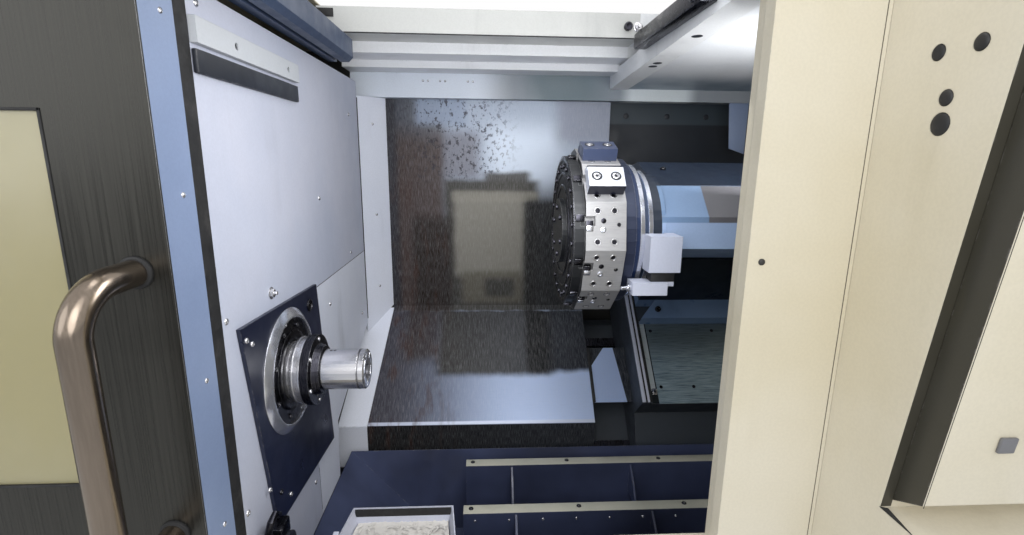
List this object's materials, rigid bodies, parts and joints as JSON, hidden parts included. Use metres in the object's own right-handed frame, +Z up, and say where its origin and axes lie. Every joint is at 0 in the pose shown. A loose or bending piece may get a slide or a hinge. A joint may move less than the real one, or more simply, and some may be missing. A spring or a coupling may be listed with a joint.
{
  "type": "cnc turning lathe",
  "caption": "Slant-bed turning lathe with an enclosed work area, opened sliding door, spindle with an expanding mandrel, twelve-sided tool turret, parts tray and operator panel",
  "frame": {"origin": "on the floor, under the middle of the machine's bounding box", "axes": "+X along the spindle from the headstock to the turret side, -Y towards the operator, +Z up"},
  "size_m": [2.6, 1.8103, 1.93],
  "materials": {
    "cream": "satin cream paint on sheet steel",
    "pale": "pale satin paint with grime",
    "blue_grey": "blue-grey satin paint",
    "navy": "dark oily sheet steel",
    "dark": "near-black paint",
    "cast": "grey painted casting",
    "steel": "bright machined steel",
    "stainless": "stained stainless sheet",
    "black_steel": "dark glossy steel",
    "rubber": "black rubber",
    "glass": "yellowish tinted pane",
    "red": "red gloss plastic",
    "grey_plastic": "grey matte plastic"
  },
  "bodies": {
    "machine": {"base": "cast", "slant_bed": "cast", "z_rail_lower": "steel", "z_rail_upper": "steel", "headstock": "cast", "front_bearing": "steel", "rear_bearing": "steel", "main_motor": "cast", "drive_belt": "rubber", "guard_plate": "navy", "spindle_ring": "steel", "seal_disc": "black_steel", "wall_upper_sheet": "pale", "wall_lower_sheet": "pale", "corner_panel": "pale", "filler_panel": "pale", "door_seal": "rubber", "front_lower_panel": "cream", "front_left_panel": "cream", "front_right_panel": "cream", "front_header": "cream", "left_shell": "cream", "right_shell": "cream", "rear_panel": "cream", "rear_roof_beams": "pale", "roof_rail_left": "blue_grey", "roof_rail_right": "pale", "lamp_bracket": "pale", "recess_panel": "dark", "chip_pan": "navy", "trough_wall_rear": "navy", "trough_wall_front": "navy", "tray_bearing": "dark", "z_motor": "dark", "console_housing": "cream"},
    "sliding_door": {"door_panel": "black_steel", "door_frame": "blue_grey", "door_window": "glass", "door_handle": "steel"},
    "spindle_unit": {"spindle": "steel", "mandrel_flange": "black_steel", "mandrel": "steel", "spindle_pulley": "black_steel"},
    "motor_shaft": {"motor_pulley": "black_steel"},
    "carriage": {"carriage_cover": "stainless", "saddle": "cast", "saddle_plate": "stainless", "x_motor": "dark"},
    "z_feed_screw": {"z_screw": "steel"},
    "x_feed_screw": {"x_screw": "steel"},
    "cross_unit": {"cross_slide": "blue_grey", "turret_housing": "blue_grey", "coolant_block": "pale"},
    "turret": {"turret_disc": "steel", "tool_holder_a": "pale", "tool_holder_b": "dark"},
    "catch_tray": {"parts_tray": "pale"},
    "panel": {"operator_panel": "cream"},
    "stop_button": {"emergency_stop": "red"},
    "dial": {"override_dial": "grey_plastic"}
  },
  "joints": [
    {"name": "door_slide", "type": "slide", "parent": "machine", "child": "sliding_door", "axis": [1, 0, 0], "range_m": [0, 0.828]},
    {"name": "spindle_spin", "type": "hinge", "parent": "machine", "child": "spindle_unit", "pos_m": [0, -0.292, 1.045], "axis": [1, 0, 0], "continuous": true},
    {"name": "motor_spin", "type": "hinge", "parent": "machine", "child": "motor_shaft", "pos_m": [0, -0.292, 0.5], "axis": [1, 0, 0], "continuous": true},
    {"name": "carriage_slide", "type": "slide", "parent": "machine", "child": "carriage", "axis": [1, 0, 0], "range_m": [-0.42, 0]},
    {"name": "z_screw_turn", "type": "hinge", "parent": "machine", "child": "z_feed_screw", "pos_m": [0, 0.4133, 0.6479], "axis": [1, 0, 0], "range_deg": [-7570, 10]},
    {"name": "cross_slide_feed", "type": "slide", "parent": "carriage", "child": "cross_unit", "axis": [0, -0.7071, -0.7071], "range_m": [0, 0.17]},
    {"name": "x_screw_turn", "type": "hinge", "parent": "carriage", "child": "x_feed_screw", "pos_m": [0.8, 0.21037, 0.63163], "axis": [0, -0.7071, -0.7071], "range_deg": [-10, 6130]},
    {"name": "turret_index", "type": "hinge", "parent": "cross_unit", "child": "turret", "pos_m": [0, -0.018, 1.319], "axis": [1, 0, 0], "continuous": true},
    {"name": "tray_tilt", "type": "hinge", "parent": "machine", "child": "catch_tray", "pos_m": [0, -0.455, 0.73], "axis": [1, 0, 0], "range_deg": [0, 35]},
    {"name": "panel_swing", "type": "hinge", "parent": "machine", "child": "panel", "pos_m": [1.23, -0.7726, 1.035], "axis": [0, -0.1113, 0.9938], "range_deg": [0, 60]},
    {"name": "stop_press", "type": "slide", "parent": "panel", "child": "stop_button", "axis": [0, 0.9938, 0.1113], "range_m": [0, 0.006]},
    {"name": "dial_turn", "type": "hinge", "parent": "panel", "child": "dial", "pos_m": [1.145, -0.85152, 1.37], "axis": [0, -0.9938, -0.1113], "range_deg": [-135, 135]}
  ],
  "couplings": [
    {"joint": "motor_spin", "follows": "spindle_spin", "ratio": 1.5},
    {"joint": "z_screw_turn", "follows": "carriage_slide", "rad_per_m": 314.16},
    {"joint": "x_screw_turn", "follows": "cross_slide_feed", "rad_per_m": 628.32}
  ]
}
